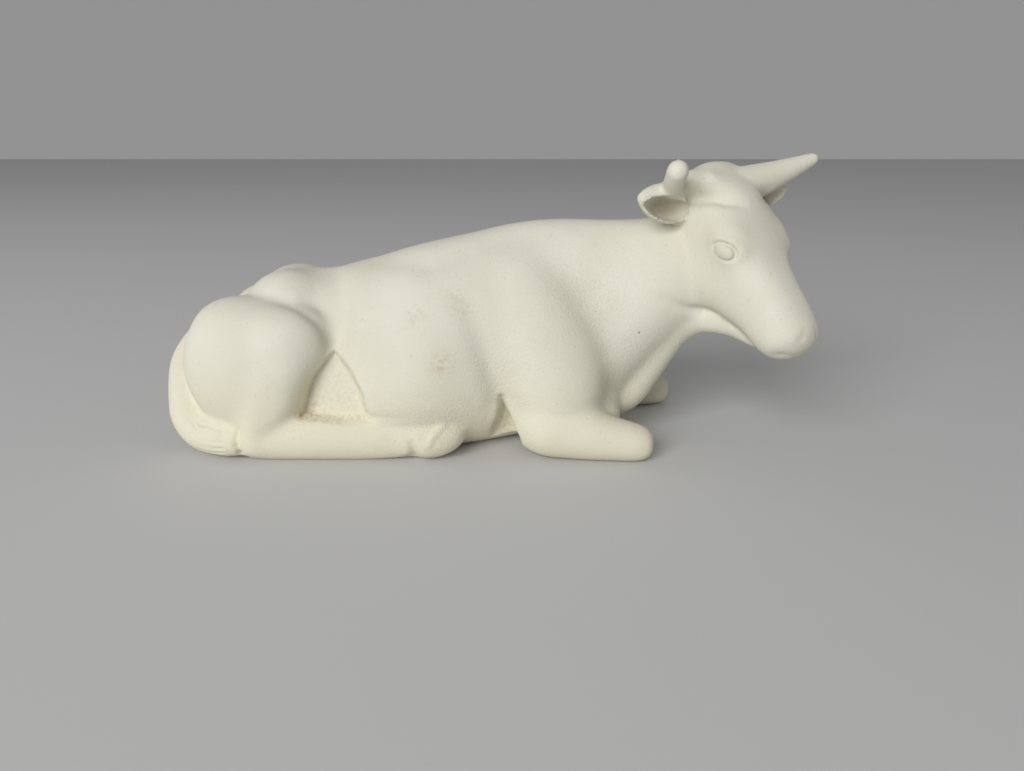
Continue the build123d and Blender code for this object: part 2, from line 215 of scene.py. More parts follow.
# Carved lines on the body's sides: sides, width, depths along the line, then points x, y away from
# the spine, z. A depth below zero raises a ridge.
BODY_LINES = [
    ("both", 2.0, (0.2, 0.5, 0.8, 0.6),
     [(-53, 6, 39), (-47.7, 11.3, 38.5), (-42, 16.2, 37.8), (-37, 18, 35.8), (-33.6, 18.4, 32.3),
      (-32, 18.4, 28.6)]),
    ("both", 3.0, (0.5, 0.9),
     [(-33.5, 4.6, 43.7), (-31.2, 10.7, 40.3), (-29.5, 15, 36.3), (-30.3, 18, 31)]),
    ("both", 3.2, (0.1, 0.7, 1.2, 1.2),
     [(-3, 17, 42), (-0.5, 18.6, 39), (2.3, 20.9, 34.1), (4.6, 22.1, 27.2), (6.4, 21.8, 20.9),
      (8, 20.5, 15.4)]),
    ("both", 6.0, (0.2, 0.6, 0.9, 0.9, 0.7, 0.4),
     [(15.7, 11, 50), (22.9, 14.9, 44.3), (28, 16.3, 40), (32, 17.6, 35.2), (34.4, 18, 28),
      (35.8, 16, 20)]),
    ("both", 4.5, (0.5, 0.9, 0.3, 0.7, 0.4),
     [(-22, 5.2, 46.8), (-9, 11.5, 47), (1.9, 9.2, 50.2), (12, 7.7, 52.7), (20.4, 9.1, 52)]),
    ("both", 2.8, (-0.3, -0.6),
     [(-47.5, 25.1, 22), (-49.9, 25.1, 17), (-51.8, 24.4, 10.5), (-52.9, 23.5, 3.6)]),
    ("both", 1.0, (0.4, 0.4, 0.05),
     [(-40.4, 21.2, 11.5), (-32.3, 21.8, 11), (-24.5, 22.2, 11.7), (-19.4, 23.4, 12.1),
      (-13.7, 24.3, 12.6)]),
    ("both", 1.3, (0.2, 1.0, 1.2),
     [(-13.8, 24.3, 7), (-13.3, 24.5, 4), (-13, 23.4, 1)]),
    ("both", 0.9, (-0.3, -0.5, -0.3),
     [(-6, 22.9, 9.6), (-8.3, 24, 7.5), (-9.6, 24.4, 5)]),
    ("right", 0.8, (0.8, 1.2),
     [(-54.6, 21, 10.5), (-55.4, 22.8, 8), (-55.8, 23.4, 4.6), (-55.4, 22.6, 1)]),
    ("right", 1.2, (0.25, 0.7, 0.9),
     [(46.3, 18.2, 40), (50, 17.6, 37.9), (53, 16.6, 36.8), (56.1, 15.8, 36.3)]),
]
# Raised or hollowed places: sides, middle, reach each way, height
BODY_PLACES = [
    ("both", (-13, 25, 20), (13, 8, 13), 0.7),
    ("both", (-13.6, 22.5, 0.5), (2.6, 3.5, 1.6), -0.8),
    ("both", (-61.0, 13, 34.5), (7, 8, 6.0), 1.3),
]
# Flat-bottomed hollows pressed into the sides, the flank's and the one behind the elbow: outline
# x, z, the floor's distance from the spine and its slopes along x and z, then a line at x that
# parts two widths of the rim, behind it and in front of it
HOLLOWS = [
    ([(-31.8, 27.2), (-35, 24), (-37.7, 20.8), (-39.4, 17), (-40.6, 11.2), (-32.3, 10.7), (-24.2, 11.2),
      (-25.4, 17.6), (-27.8, 22.4)], (25.7, 0.15, -0.134), (-31.0, 1.0, 3.0)),
    ([(8.2, 16), (7.6, 10.5), (6.2, 6.4), (4.2, -2), (13.8, -2), (12.4, 5.5), (10.7, 8.9), (9, 13.3)],
     (11.8, 0.0, 0.25), (9.0, 2.2, 1.0)),
]

# Carved lines on the head, in the head's own directions
HEAD_LINES = [
    (0.9, (0.1, 0.2), [(41.6, 2.0, -2.5), (42.8, 2.6, -3.5)]),
    (0.9, (0.1, 0.2, 0.1), [(43.3, 5.0, -9.7), (43.8, 4.0, -8.4), (44.6, 1.5, -7.6)]),
]
HEAD_PLACES = [
    ("both", (21.5, 9.9, -9.4), (4.0, 3.0, 4.0), -0.8),
    ("right", (2.6, 7.0, -1.8), (2.8, 4.0, 3.0), 1.3),
    ("both", (23.4, 2.4, -0.8), (3.6, 4.2, 3.6), -0.35),
    ("both", (43.5, 4.6, -9.0), (1.8, 1.8, 1.8), -0.3),
]
# Crease under the poll's cap, from the ear to the middle of the face, soft above and crisp below
POLL_CREASE = [(2.9, 10.9, -7.0), (3.9, 10.1, -6.0), (5.0, 8.9, -4.4), (6.6, 7.8, -2.5), (8.4, 6.5, -1.0),
               (10.0, 4.3, -0.2), (11.0, 1.8, 0.0)]
POLL_CREASE_DEPTHS = (0.3, 2.0, 2.8, 2.5, 1.8, 0.9, 0.1)
POLL_CREASE_ABOVE = 2.8
POLL_CREASE_BELOW = 1.5
POLL_CREASE_LEFT_SHARE = 0.4
# Eye: its middle, the ways from end to end of it along and up, and the height of the ball, the depth
# of the crease round it and the height of the lid
EYE = (18.8, 10.5, -4.9)
EYE_LONG = (4.5, -1.5, 2.7)
EYE_TALL = (-1.85, 0.0, 3.2)
EYE_BALL_RISE = 0.55
EYE_CREASE = 0.8
EYE_LID_RISE = 0.25

# Vent in the underside: place, diameter and depth of the bore
VENT_X = -26.0
VENT_DIAMETER = 3.5
VENT_DEPTH = 8.0

# The photograph's camera: focal length and picture width in pixels, place in metres, dip in degrees
FOCAL_PIXELS = 740.0
PICTURE_PIXELS = 1024.0
CAMERA_PLACE = (0.0107, -0.189, 0.075)
CAMERA_DIP = 18.35
SENSOR_WIDTH = 36.0
NEAREST_VIEW = 0.01

# Light of the room, the one lamp in metres and watts, and the floor
ROOM_LIGHT = 0.29
KEY_PLACE = (-0.60, -1.15, 0.62)
KEY_TARGET = (0.0, 0.0, 0.02)
KEY_SIZE = 0.85
KEY_POWER = 15.2
FLOOR_SIZE = 6.0
FLOOR_GREY = (0.62, 0.62, 0.62, 1.0)
WHITE = (1.0, 1.0, 1.0, 1.0)

# Clay colours, the speck's place in metres, places where brown grit has gathered or brown painted shade
# darkens a gap (middle, reach, strength) and places left coarse (middle, away from the spine on either side,
# and reach)
CREAM = (0.70, 0.675, 0.56)
PALE_CREAM = (0.75, 0.735, 0.63)
WARM_CREAM = (0.77, 0.725, 0.555)
# Brown of grit, stains and coarse grain, also used as painted shade along the flank hollow's rim and in the
# elbow's gap
GRIT_AND_SHADE_BROWN = (0.45, 0.31, 0.17)
# Dark brown painted into the ears' hollows as painted shade
EAR_SHADE_BROWN = (0.26, 0.225, 0.14)
RED_BROWN = (0.24, 0.06, 0.025)
SPECK_PLACE = (0.0411, -0.0174, 0.0313)
GRIT_AND_SHADE_PLACES = [
    ((-5.7, -24.7, 25.5), (2.6, 4.0, 2.6), 0.8),
    ((-11.9, -21.0, 36.0), (2.2, 4.0, 2.6), 0.45),
    ((-0.4, -19.9, 37.5), (2.6, 4.0, 2.6), 0.45),
    ((-3.1, -18.4, 40.4), (1.6, 4.0, 1.6), 0.35),
    # Painted shade in the gap behind the elbow
    ((9.5, -15.0, 6.0), (2.5, 5.0, 5.0), 0.7),
    ((-40.0, -20.0, 12.0), (3.0, 4.0, 1.6), 0.7),
]
COARSE = [
    ((39.0, 12.0, 20.0), (9.0, 9.0, 12.0)),
    ((9.0, 20.0, 20.0), (9.0, 8.0, 14.0)),
    ((30.0, 17.0, 40.0), (12.0, 9.0, 12.0)),
    ((-10.0, 24.0, 10.0), (12.0, 8.0, 8.0)),
]
# Painted shade in an ear's hollow: its middle as a share of the ear, its reach along the ear and across it
EAR_SHADE_MIDDLE = 0.34
EAR_SHADE_REACH = 0.26
EAR_SHADE_ACROSS = 2.6

RIGHT = -1
LEFT = 1
SIDES = ((RIGHT, "right"), (LEFT, "left"))


def head_point(along, sideways, out):
    return POLL + DOWN_FACE * along + HEAD_LEFT * sideways + OFF_FACE * out


def unit(vector):
    return np.asarray(vector, float) / np.linalg.norm(vector)


def deselect_all():
    if bpy.context.mode != "OBJECT":
        bpy.ops.object.mode_set(mode="OBJECT")
    bpy.ops.object.select_all(action="DESELECT")


def take(thing):
    """Make one object the only selected and active one."""
    deselect_all()
    thing.select_set(True)
    bpy.context.view_layer.objects.active = thing


def points_of(thing):
    flat = np.empty(len(thing.data.vertices) * 3)
    thing.data.vertices.foreach_get("co", flat)
    return flat.reshape(-1, 3) / MM


def set_points(thing, points):
    thing.data.vertices.foreach_set("co", (points * MM).ravel())
    thing.data.update()


def normals_of(thing):
    flat = np.empty(len(thing.data.vertices) * 3)
    thing.data.vertex_normals.foreach_get("vector", flat)
    return flat.reshape(-1, 3)


def eased_rows(rings):
    """Rows between the rings, on a curve through them with no overshoot."""
    table = np.array(rings)
    count = len(table)
    step = np.diff(table, axis=0)
    slope = np.zeros_like(table)
    same_way = step[:-1] * step[1:] > 0
    middle = np.where(same_way, 2 * step[:-1] * step[1:] / np.where(same_way, step[:-1] + step[1:], 1), 0)
    slope[1:-1] = middle
    slope[0] = step[0]
    slope[-1] = step[-1]
    rows = []
    for start in range(count - 1):
        for part in range(ROWS_BETWEEN_RINGS):
            t = part / ROWS_BETWEEN_RINGS
            rows.append(table[start] * (1 + 2 * t) * (1 - t) ** 2 + table[start + 1] * t * t * (3 - 2 * t)
                        + slope[start] * t * (1 - t) ** 2 + slope[start + 1] * t * t * (t - 1))
    rows.append(table[-1])
    return np.array(rows)


def skin(name, rings, egg=0.0, square=2.0):
    """Closed tube over rings: middle, across, up, half across, half up. An egg is wider below its
    middle, and a squareness above 2 flattens the four sides."""
    rows = eased_rows([np.concatenate((m, a, u, (half_a, half_u))) for m, a, u, half_a, half_u in rings])
    deselect_all()
    bpy.ops.mesh.primitive_grid_add(x_subdivisions=RING_SIDES, y_subdivisions=len(rows) - 1)
    tube = bpy.context.object
    tube.name = name
    angle = np.arange(RING_SIDES + 1) * 2 * np.pi / RING_SIDES
    cosine = np.cos(angle)
    sine = np.sin(angle)
    points = []
    for row in rows:
        across = unit(row[3:6])
        up = unit(row[6:9])
        side = np.sign(cosine) * np.abs(cosine) ** (2 / square) * row[9] * (1 - egg * sine)
        rise = np.sign(sine) * np.abs(sine) ** (2 / square) * row[10]
        points.append(row[0:3] + np.outer(side, across) + np.outer(rise, up))
    set_points(tube, np.concatenate(points))
    bpy.ops.object.mode_set(mode="EDIT")
    bpy.ops.mesh.select_all(action="SELECT")
    bpy.ops.mesh.remove_doubles(threshold=0.01 * MM)
    bpy.ops.mesh.fill_holes(sides=0)
    bpy.ops.mesh.select_all(action="SELECT")
    bpy.ops.mesh.normals_make_consistent(inside=False)
    bpy.ops.object.mode_set(mode="OBJECT")
    return tube


def ball(name, middle, radii, turn=(0.0, 0.0, 0.0)):
    """Rounded mass: a sphere scaled, turned and set in place."""
    deselect_all()
    bpy.ops.mesh.primitive_uv_sphere_add(segments=40, ring_count=20, radius=1.0)
    mass = bpy.context.object
    mass.name = name
    mass.scale = Vector(radii) * MM
    mass.rotation_euler = [math.radians(angle) for angle in turn]
    mass.location = Vector(middle) * MM
    bpy.ops.object.transform_apply(location=True, rotation=True, scale=True)
    return mass


def side_ball(name, mass, hand, drop=0.0):
    (x, side, height), radii = mass
    return ball(name, (x, hand * side, height - drop), radii)


def apply_modifier(thing, kind, **settings):
    take(thing)
    modifier = thing.modifiers.new(kind, kind)
    for key, value in settings.items():
        setattr(modifier, key, value)
    bpy.ops.object.modifier_apply(modifier=modifier.name)


def fuse(name, masses, voxel, smoothing):
    """One clay surface over all the masses, with its joins rubbed soft."""
    deselect_all()
    for mass in masses:
        mass.select_set(True)
    bpy.context.view_layer.objects.active = masses[0]
    bpy.ops.object.join()
    clay = bpy.context.object
    clay.name = name
    apply_modifier(clay, "REMESH", mode="VOXEL", voxel_size=voxel * MM, use_smooth_shade=True)
    apply_modifier(clay, "SMOOTH", factor=0.5, iterations=smoothing)
    return clay


def cross_ring(x, side, height, half_width, half_height):
    return np.array((x, side, height)), (0, 1, 0), UP, half_width, half_height


def trunk_mass():
    rings = []
    for x, underside, top, half_width, side, turn in TRUNK:
        angle = math.radians(turn)
        across = np.array((math.sin(angle), math.cos(angle), 0.0))
        middle = np.array((x, side, (underside + top) / 2))
        rings.append((middle, across, UP, half_width, (top - underside) / 2))
    return skin("trunk", rings, TRUNK_EGG)


def upright_mass(name, table, hand):
    return skin(name, [((x, hand * side, z), (1, 0, 0), (0, 1, 0), half_length, half_thickness)
                       for z, x, side, half_length, half_thickness in table])


def haunch_mass(hand):
    drop = 0.0 if hand == RIGHT else LEFT_HAUNCH_DROP
    masses = [side_ball("rear", HAUNCH_REAR, hand, drop), side_ball("stifle", STIFLE, hand, drop)]
    masses.append(upright_mass("thigh", THIGH, hand))
    return fuse("haunch", masses, voxel=1.0, smoothing=45)


def torso_mass():
    masses = [trunk_mass()]
    for hand, word in SIDES:
        masses.append(side_ball("hip", HIP, hand))
        masses.append(side_ball("brisket", BRISKET, hand))
        masses.append(upright_mass("shoulder", SHOULDER, hand))
    return fuse("torso", masses, voxel=1.0, smoothing=40)


def foreleg_mass(hand, more=0.0):
    reach = RIGHT_REACH if hand == RIGHT else LEFT_REACH
    return skin("foreleg", [cross_ring(ELBOW_X + share * (reach + more), hand * side, height,
                                       wide + more, high + more)
                            for share, side, height, wide, high in FORELEG])


def shank_mass(hand, more=0.0):
    return skin("shank", [cross_ring(x, hand * side, height, wide + more, high + more)
                          for x, side, height, wide, high in SHANK])


def rope(name, table, more=0.0):
    """Round tube through the points of a table: x, y, z, radius."""
    points = np.array([row[:3] for row in table])
    rings = []
    for place, point in enumerate(points):
        along = unit(points[min(place + 1, len(points) - 1)] - points[max(place - 1, 0)])
        across = unit(np.array((0.0, 1.0, 0.0)) - along * along[1])
        radius = table[place][3] + more
        rings.append((point, across, np.cross(along, across), radius, radius))
    return skin(name, rings)


def head_loft(jaw_more=0.0, face_more=0.0, side_more=0.0):
    rings = []
    for along, jaw_side, face_side, half_width in HEAD:
        low = jaw_side - jaw_more
        high = face_side + face_more
        stretch = 1 + side_more / HEAD_SPREAD
        middle = head_point(HEAD_MIDDLE + (along - HEAD_MIDDLE) * stretch, 0, (low + high) / 2)
        rings.append((middle, HEAD_LEFT, OFF_FACE, half_width + side_more, (high - low) / 2))
    return skin("head", rings, square=HEAD_SQUARENESS)


def head_masses():
    masses = [head_loft()]
    turn = Matrix((DOWN_FACE, HEAD_LEFT, OFF_FACE)).transposed().to_euler()
    turn = [math.degrees(angle) for angle in turn]
    lumps = [("poll", HEAD_POLL, LEFT), ("muzzle", HEAD_MUZZLE, LEFT)]
    for hand, word in SIDES:
        lumps += [("brow", HEAD_BROW, hand), ("cheek", HEAD_CHEEK, hand)]
    lumps.append(("boss", RIGHT_HORN_BOSS, RIGHT))
    for name, ((along, sideways, out), radii), hand in lumps:
        masses.append(ball(name, head_point(along, hand * sideways, out), radii, turn))
    return masses


def horn_mass(hand, more=0.0):
    path = RIGHT_HORN if hand == RIGHT else LEFT_HORN
    radii = RIGHT_HORN_RADII if hand == RIGHT else LEFT_HORN_RADII
    points = [head_point(along, hand * sideways, out) for along, sideways, out in path]
    lead = unit(points[-1] - points[-2])
    # A horn's root goes deep into the head, and its cutter starts half way to the bend.
    if more:
        points[0] = points[0] * 0.5 + points[1] * 0.5
    else:
        points[0] = points[0] * 1.4 - points[1] * 0.4
    end = points[-1]
    points += [end + lead * (radii[-1] * beyond + more) for beyond, share in HORN_CAP]
    radii = list(radii) + [radii[-1] * share for beyond, share in HORN_CAP]
    return rope("horn", [(*point, radius + more) for point, radius in zip(points, radii)])


def ear_frame(hand):
    root, tip = [head_point(along, hand * sideways, out)
                 for along, sideways, out in (RIGHT_EAR if hand == RIGHT else LEFT_EAR)]
    axis = unit(tip - root)
    open_way = unit(FORWARD - axis * FORWARD.dot(axis))
    width_way = np.cross(axis, open_way)
    if width_way[2] < 0:
        width_way = -width_way
    return root, tip - root, open_way, width_way


def ear_leaf(hand, more=0.0):
    root, reach, open_way, width_way = ear_frame(hand)
    slim = RIGHT_EAR_WIDTH if hand == RIGHT else LEFT_EAR_WIDTH
    shares = [(share, wide * slim, thick) for share, wide, thick in EAR_LEAF]
    # An ear's cutter starts outside the head and ends beyond the tip.
    if more:
        shares = [(max(share, 0.1) * 1.08, wide, thick) for share, wide, thick in shares[1:]]
    return skin("ear", [(root + reach * share, width_way, open_way, wide + more, thick + more)
                        for share, wide, thick in shares])


def ear_cup(hand):
    root, reach, open_way, width_way = ear_frame(hand)
    slim = RIGHT_EAR_WIDTH if hand == RIGHT else LEFT_EAR_WIDTH
    rings = []
    for share, wide, thick in EAR_CUP:
        middle = root + reach * share + open_way * EAR_CUP_FORWARD - width_way * EAR_CUP_LOWER * slim * slim
        rings.append((middle, width_way, open_way, wide * slim, thick * slim))
    return skin("cup", rings)


def hollow_ear(thing, hand):
    cup = ear_cup(hand)
    apply_modifier(thing, "BOOLEAN", operation="DIFFERENCE", object=cup, solver="EXACT")
    bpy.data.objects.remove(cup)
    return thing


def clay_cow():
    body = [torso_mass(), rope("tail", TAIL), rope("dewlap", DEWLAP)]
    for hand, word in SIDES:
        body += [haunch_mass(hand), foreleg_mass(hand), shank_mass(hand)]
    trunk = fuse("clay_body", body, voxel=0.8, smoothing=10)
    head = fuse("clay_head", head_masses(), voxel=0.7, smoothing=40)
    small = []
    for hand, word in SIDES:
        small += [horn_mass(hand), hollow_ear(ear_leaf(hand), hand)]
        hollow_ear(head, hand)
    return fuse("clay_cow", [trunk, head] + small, voxel=0.56, smoothing=5)


def path_distance(points, path):
    """Distance from a line of points, and the share of the way along it."""
    path = np.array(path, float)
    nearest = np.full(len(points), np.inf)
    share = np.zeros(len(points))
    for place in range(len(path) - 1):
        start = path[place]
        step = path[place + 1] - start
        t = np.clip((points - start) @ step / (step @ step), 0, 1)
        distance = np.linalg.norm(points - start - t[:, None] * step, axis=1)
        closer = distance < nearest
        nearest[closer] = distance[closer]
        share[closer] = (place + t[closer]) / (len(path) - 1)
    return nearest, share


def carve_line(points, normals, path, width, depths):
    distance, share = path_distance(points, path)
    depth = np.interp(share, np.linspace(0, 1, len(depths)), depths)
    return points - normals * (depth * np.exp(-(distance / width) ** 2))[:, None]


def raise_place(points, normals, middle, reach, height):
    away = (((points - np.array(middle)) / np.array(reach)) ** 2).sum(axis=1)
    return points + normals * (height * np.exp(-away))[:, None]


def hands_for(sides):
    return (RIGHT,) if sides == "right" else (RIGHT, LEFT)


def eased(share):
    share = np.clip(share, 0, 1)
    return share * share * (3 - 2 * share)


def inside_outline(points, outline):
    """How far points lie inside a closed flat outline; below zero outside it."""
    distance, share = path_distance(points, outline + outline[:1])
    within = np.zeros(len(points), bool)
    for (x0, z0), (x1, z1) in zip(outline, outline[1:] + outline[:1]):
        crosses = (points[:, 1] < z0) != (points[:, 1] < z1)
        if z0 != z1:
            within ^= crosses & (points[:, 0] < x0 + (points[:, 1] - z0) * (x1 - x0) / (z1 - z0))
    return np.where(within, distance, -distance)


def press_hollow(points, hand, outline, level, rim):
    inside = inside_outline(points[:, [0, 2]], outline)
    floor_at = level[0] + level[1] * points[:, 0] + level[2] * points[:, 2]
    over = np.clip(points[:, 1] * hand - floor_at, 0, None)
    width = rim[1] + (rim[2] - rim[1]) * eased((points[:, 0] - rim[0]) / 3 + 0.5)
    points[:, 1] -= hand * over * eased(inside / width + 0.5) * (points[:, 1] * hand > 8)
    return points


def in_head(points):
    offset = points - POLL
    return np.stack((offset @ DOWN_FACE, offset @ HEAD_LEFT, offset @ OFF_FACE), axis=1)


def carve_eye(points, normals, hand):
    """An almond eyeball with a crease over it and round its front corner, under a soft lid."""
    place = in_head(points)
    place[:, 1] *= hand
    offset = place - np.array(EYE)
    along, tall = 2 * np.linalg.pinv(np.array((EYE_LONG, EYE_TALL)).T) @ offset.T
    ring = np.sqrt(along ** 2 + tall ** 2)
    near = (np.linalg.norm(offset, axis=1) < 7) & (place[:, 1] > 5)
    edge = np.clip(0.65 + 0.35 * along + 0.45 * tall, 0.05, 1.15)
    fullness = np.clip(0.75 + 0.35 * along + 0.15 * tall, 0.3, 1)
    ball_rise = EYE_BALL_RISE * np.clip(1 - ring ** 2, 0, 1) ** 0.8 * fullness
    rim_cut = -EYE_CREASE * np.exp(-((ring - 1.05) / 0.15) ** 2) * edge
    lid_rise = EYE_LID_RISE * np.exp(-((ring - 1.55) / 0.35) ** 2) * np.clip(0.4 + tall, 0, 1)
    return points + normals * ((ball_rise + rim_cut + lid_rise) * near)[:, None]


def carve_poll(points, normals, hand):
    """The crease that sets the poll's cap off from the brow."""
    place = in_head(points)
    place[:, 1] *= hand
    distance, share = path_distance(place, POLL_CREASE)
    rows = np.array(POLL_CREASE)
    below = place[:, 0] - np.interp(share, np.linspace(0, 1, len(rows)), rows[:, 0])
    width = POLL_CREASE_ABOVE + (POLL_CREASE_BELOW - POLL_CREASE_ABOVE) * eased(below / 2.5 + 0.5)
    depth = np.interp(share, np.linspace(0, 1, len(POLL_CREASE_DEPTHS)), POLL_CREASE_DEPTHS)
    depth *= 1.0 if hand == RIGHT else POLL_CREASE_LEFT_SHARE
    return points - normals * (depth * np.exp(-(distance / width) ** 2))[:, None]


def tuft_lines():
    """Hair lines along the end of the tail."""
    lines = []
    rows = np.array(TAIL[3:6])
    for angle in TUFT_ANGLES:
        out = np.array((0.0, -math.cos(math.radians(angle)), math.sin(math.radians(angle))))
        lines.append(rows[:, :3] + rows[:, 3:] * out)
    return lines


def refine(clay):
    """Finer mesh on the head, the tail's tuft, the right flank and the hooves, where the small carving
    is."""
    points = points_of(clay)
    place = in_head(points)
    x, y, z = points.T
    along, sideways, out = place.T
    fine = (out > -25) & (along > -7) & (along < 50) & (np.abs(sideways) < 26) & (z > 24)
    fine |= (x < -53) & (y < -12) & (z < 12)
    fine |= (x > -43) & (x < -22) & (y < -15) & (z > 9) & (z < 29)
    fine |= (x > -18) & (x < 1) & (np.abs(y) > 18) & (z < 13)
    take(clay)
    clay.data.vertices.foreach_set("select", fine)
    bpy.ops.object.mode_set(mode="EDIT")
    bpy.ops.mesh.select_mode(type="VERT")
    bpy.ops.object.mode_set(mode="OBJECT")
    clay.data.vertices.foreach_set("select", fine)
    bpy.ops.object.mode_set(mode="EDIT")
    bpy.ops.mesh.subdivide(number_cuts=1)
    bpy.ops.object.mode_set(mode="OBJECT")
    apply_modifier(clay, "SMOOTH", factor=0.5, iterations=2)


def rub_joins(clay):
    """Rub the joins of cheek and neck and of dewlap and neck smooth."""
    points = points_of(clay)
    along, sideways, out = in_head(points).T
    join = (along > 7) & (along < 25) & (np.abs(sideways) > 6) & (out > -26) & (out < -7)
    distance, share = path_distance(points, [row[:3] for row in DEWLAP[3:8]])
    join |= (distance < 9) & (points[:, 2] < 36)
    group = clay.vertex_groups.new(name="join")
    group.add(np.flatnonzero(join).tolist(), 1.0, "REPLACE")
    apply_modifier(clay, "SMOOTH", factor=0.5, iterations=25, vertex_group="join")


def sculpt(clay):
    rub_joins(clay)
    refine(clay)
    side = np.array((1.0, 1.0, 1.0))
    for sides, width, depths, path in BODY_LINES:
        points = points_of(clay)
        normals = normals_of(clay)
        for hand in hands_for(sides):
            side[1] = hand
            points = carve_line(points, normals, np.array(path) * side, width, depths)
        set_points(clay, points)
    points = points_of(clay)
    normals = normals_of(clay)
    for sides, middle, reach, height in BODY_PLACES:
        for hand in hands_for(sides):
            side[1] = hand
            points = raise_place(points, normals, np.array(middle) * side, reach, height)
    for hand, word in SIDES:
        for outline, level, rim in HOLLOWS:
            points = press_hollow(points, hand, outline, level, rim)
    set_points(clay, points)
    points = points_of(clay)
    normals = normals_of(clay)
    for line in tuft_lines():
        points = carve_line(points, normals, line, TUFT_WIDTH, TUFT_DEPTHS)
    for hand, word in SIDES:
        points = carve_poll(points, normals, hand)
        for width, depths, path in HEAD_LINES:
            path = [head_point(along, hand * sideways, out) for along, sideways, out in path]
            points = carve_line(points, normals, path, width, depths)
        for sides, (along, sideways, out), reach, height in HEAD_PLACES:
            if hand in hands_for(sides):
                points = raise_place(points, normals, head_point(along, hand * sideways, out), reach, height)
        points = carve_eye(points, normals, hand)
    set_points(clay, points)
    apply_modifier(clay, "SMOOTH", factor=0.4, iterations=1)
    return clay


def block(name, low, high):
    deselect_all()
    bpy.ops.mesh.primitive_cube_add(size=1.0)
    box = bpy.context.object
    box.name = name
    box.scale = (Vector(high) - Vector(low)) * MM
    box.location = (Vector(high) + Vector(low)) * 0.5 * MM
    bpy.ops.object.transform_apply(location=True, rotation=True, scale=True)
    return box


def carve(clay, cutter, operation):
    apply_modifier(clay, "BOOLEAN", operation=operation, object=cutter, solver="MANIFOLD")


def largest_part(piece):
    """Drop any crumb a cut left beside the piece."""
    take(piece)
    name = piece.name
    bpy.ops.object.mode_set(mode="EDIT")
    bpy.ops.mesh.select_all(action="SELECT")
    bpy.ops.mesh.separate(type="LOOSE")
    bpy.ops.object.mode_set(mode="OBJECT")
    parts = sorted(bpy.context.selected_objects, key=lambda part: len(part.data.vertices))
    for crumb in parts[:-1]:
        bpy.data.objects.remove(crumb)
    parts[-1].name = name
    return parts[-1]


def cut_piece(clay, cutter, name):
    """Cut a piece out of the clay along a cutter."""
    take(clay)
    bpy.ops.object.duplicate()
    piece = bpy.context.object
    piece.name = name
    carve(piece, cutter, "INTERSECT")
    carve(clay, cutter, "DIFFERENCE")
    bpy.data.objects.remove(cutter)
    return largest_part(piece)


def clean_cuts(piece):
    """Take out the slivers that the cuts left along the seams."""
    take(piece)
    bpy.ops.object.mode_set(mode="EDIT")
    bpy.ops.mesh.select_all(action="SELECT")
    bpy.ops.mesh.remove_doubles(threshold=SLIVER * MM)
    bpy.ops.mesh.select_all(action="SELECT")
    bpy.ops.mesh.quads_convert_to_tris(quad_method="BEAUTY", ngon_method="BEAUTY")
    bpy.ops.mesh.select_all(action="SELECT")
    bpy.ops.mesh.dissolve_degenerate(threshold=SLIVER * MM)
    bpy.ops.object.mode_set(mode="OBJECT")


def copy_of(thing, name):
    take(thing)
    bpy.ops.object.duplicate()
    bpy.context.object.name = name
    return bpy.context.object


def vent_pin():
    """Cutter for the round vent in the underside."""
    deselect_all()
    bpy.ops.mesh.primitive_cylinder_add(vertices=48, radius=VENT_DIAMETER / 2 * MM, depth=VENT_DEPTH * 2 * MM,
                                        location=(VENT_X * MM, 0, 0))
    bpy.ops.object.transform_apply(location=True, rotation=True, scale=True)
    return bpy.context.object


def cut_apart(clay):
    ground = block("ground", (-300, -300, -100), (300, 300, 0))
    for cutter in (ground, vent_pin()):
        carve(clay, cutter, "DIFFERENCE")
        bpy.data.objects.remove(cutter)
    uncut = copy_of(clay, "uncut")
    pieces = {}
    for hand, word in SIDES:
        pieces[word + "_horn"] = cut_piece(clay, horn_mass(hand, CUT_MORE), word + "_horn")
        pieces[word + "_ear"] = cut_piece(clay, ear_leaf(hand, CUT_MORE), word + "_ear")
    pieces["head"] = cut_piece(clay, head_loft(*HEAD_CUT_MORE), "head")
    for hand, word in SIDES:
        pieces[word + "_foreleg"] = cut_piece(clay, foreleg_mass(hand, CUT_MORE), word + "_foreleg")
        pieces[word + "_hind_shank"] = cut_piece(clay, shank_mass(hand, CUT_MORE), word + "_hind_shank")
    pieces["tail"] = cut_piece(clay, rope("tail_zone", TAIL, CUT_MORE), "tail")
    clay.name = "body_shell"
    pieces["body_shell"] = largest_part(clay)
    for piece in pieces.values():
        clean_cuts(piece)
        apply_modifier(piece, "DATA_TRANSFER", object=uncut, use_loop_data=True,
                       data_types_loops={"CUSTOM_NORMAL"}, loop_mapping="POLYINTERP_NEAREST")
    bpy.data.objects.remove(uncut)
    return pieces


